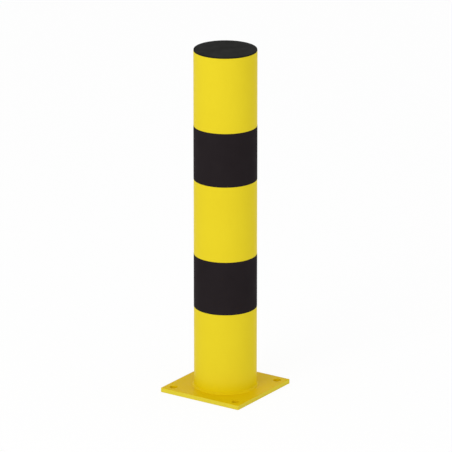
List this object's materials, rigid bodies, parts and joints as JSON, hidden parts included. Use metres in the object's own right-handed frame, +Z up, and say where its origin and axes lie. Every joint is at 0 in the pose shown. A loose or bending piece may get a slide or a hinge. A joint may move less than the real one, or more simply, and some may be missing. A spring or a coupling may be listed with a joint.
{
  "type": "safety bollard",
  "caption": "Floor-mounted safety bollard: a yellow steel tube on a square bolt-down base plate, with dark marking bands and a black push-in end cap.",
  "frame": {"origin": "centre of the base plate's underside, on the tube's axis", "axes": "+Z up along the tube's axis; the base plate's edges run along X and Y"},
  "size_m": [0.25, 0.25, 0.945],
  "materials": {
    "yellow_coat": "semi-gloss powder coat with a fine orange peel",
    "band_film": "matt self-adhesive film",
    "cap_plastic": "matt moulded plastic with a fine spark texture"
  },
  "bodies": {
    "root": {"base_plate": "yellow_coat", "tube": "yellow_coat", "weld_bead": "yellow_coat", "lower_band": "band_film", "upper_band": "band_film", "end_cap": "cap_plastic"}
  },
  "joints": []
}
